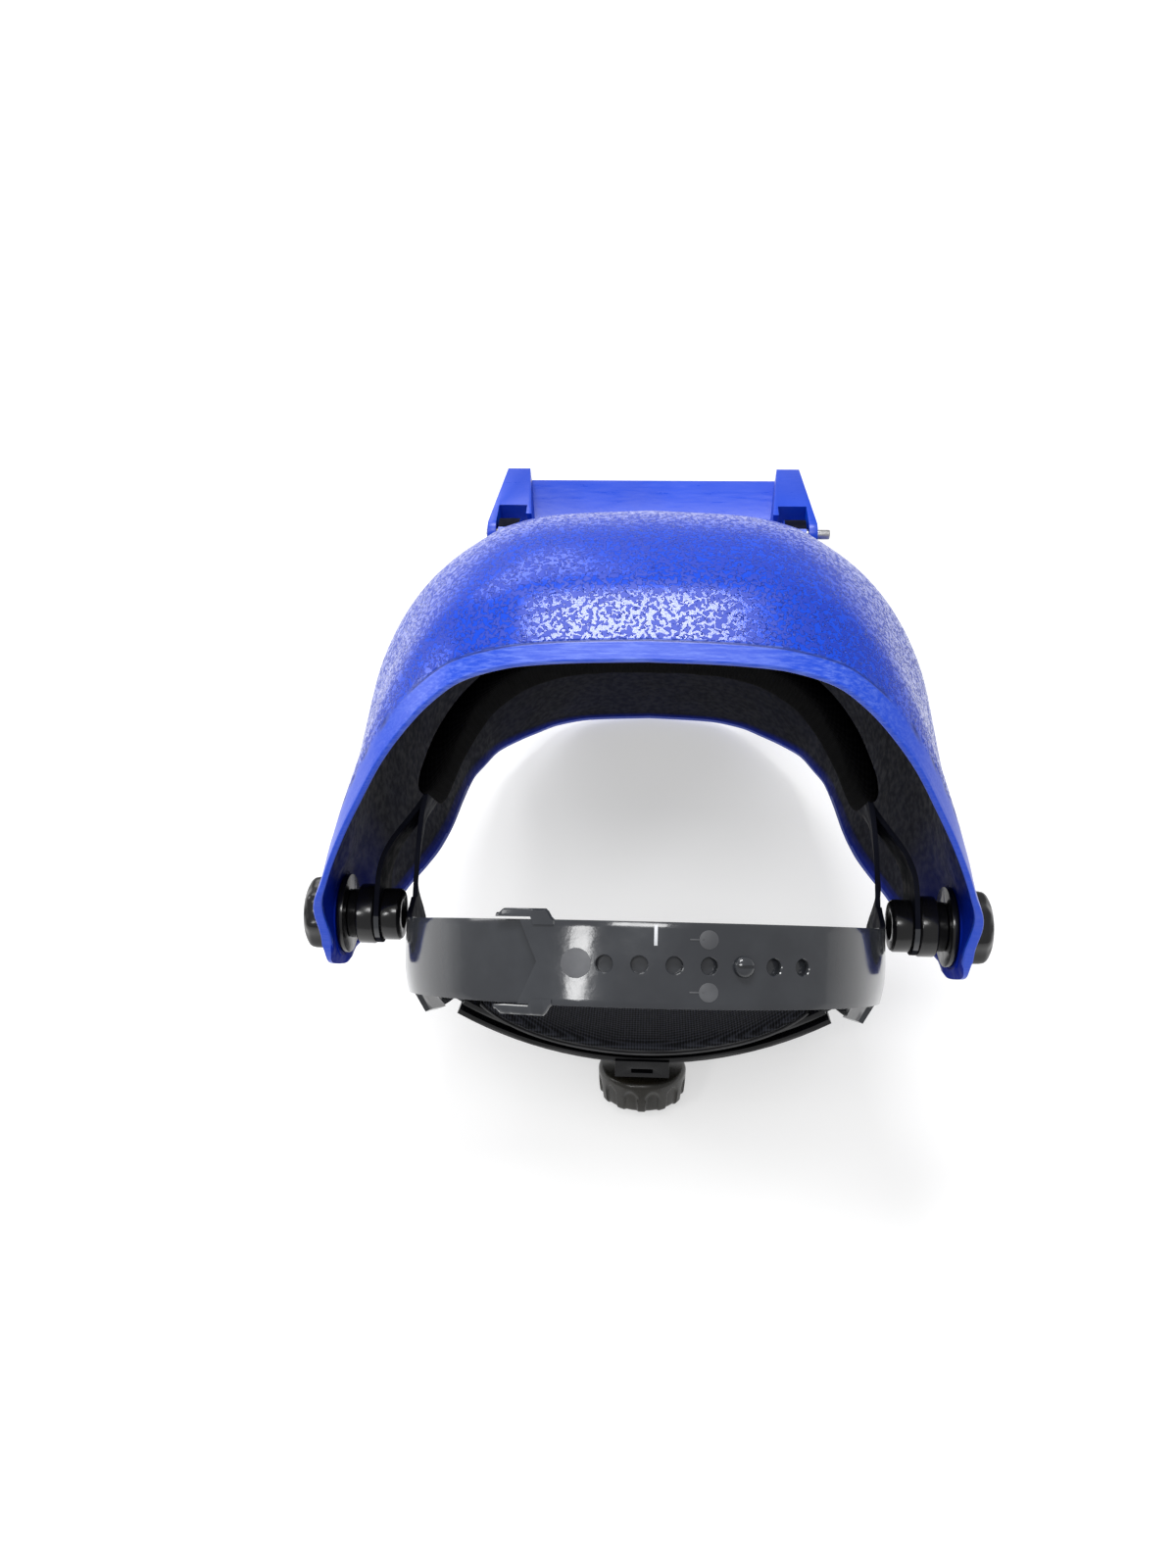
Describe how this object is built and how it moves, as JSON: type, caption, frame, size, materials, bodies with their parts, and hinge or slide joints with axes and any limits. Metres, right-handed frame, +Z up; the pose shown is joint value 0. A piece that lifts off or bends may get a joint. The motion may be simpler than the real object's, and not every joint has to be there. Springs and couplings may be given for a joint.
{
  "type": "welding mask",
  "caption": "Blue moulded welding mask with a lift-up lens door, hung on ratchet headgear with a crown strap.",
  "frame": {"origin": "centre of the part's bounding box in plan, at the height of the table it stands on", "axes": "+Y from the mask's front to the back of the headgear, +X across, from the middle towards the wearer's left when worn, +Z up"},
  "size_m": [0.2484, 0.2808, 0.2562],
  "materials": {
    "blue_textured_plastic": "fine leather-like moulded grain",
    "blue_smooth_plastic": "smooth moulded",
    "clear_polycarbonate": "clear",
    "dark_filter_glass": "very dark green",
    "steel": "plain",
    "dark_grey_strap_plastic": "smooth and glossy",
    "black_housing_plastic": "smooth and glossy",
    "black_pivot_plastic": "smooth",
    "black_woven_cloth": "woven"
  },
  "bodies": {
    "headgear": {"headband": "dark_grey_strap_plastic", "sweatband": "black_woven_cloth", "rear_pad": "black_woven_cloth", "ratchet_housing": "black_housing_plastic", "ratchet_knob": "black_housing_plastic", "pivot_block_left": "black_pivot_plastic", "pivot_block_right": "black_pivot_plastic", "pivot_washer_left": "steel", "pivot_washer_right": "steel", "pivot_bolt_left": "black_pivot_plastic", "pivot_bolt_right": "black_pivot_plastic"},
    "shell": {"mask_shell": "blue_textured_plastic", "clear_plate": "clear_polycarbonate", "hinge_pin_left": "steel", "hinge_pin_right": "steel"},
    "lens_door": {"lens_door": "blue_smooth_plastic", "filter_plate": "dark_filter_glass"},
    "tension_knob_left": {"tension_knob_left": "black_pivot_plastic"},
    "tension_knob_right": {"tension_knob_right": "black_pivot_plastic"}
  },
  "joints": [
    {"name": "shell_pivot", "type": "hinge", "parent": "headgear", "child": "shell", "pos_m": [0, 0.07294, 0.1368], "axis": [-1, 0, 0], "range_deg": [0, 80]},
    {"name": "door_hinge", "type": "hinge", "parent": "shell", "child": "lens_door", "pos_m": [0, -0.07816, 0.18406], "axis": [-1, 0, 0], "range_deg": [0, 100]},
    {"name": "tension_knob_left_turn", "type": "hinge", "parent": "headgear", "child": "tension_knob_left", "pos_m": [0.1137, 0.07294, 0.1368], "axis": [1, 0, 0], "continuous": true},
    {"name": "tension_knob_right_turn", "type": "hinge", "parent": "headgear", "child": "tension_knob_right", "pos_m": [-0.1137, 0.07294, 0.1368], "axis": [-1, 0, 0], "continuous": true}
  ]
}
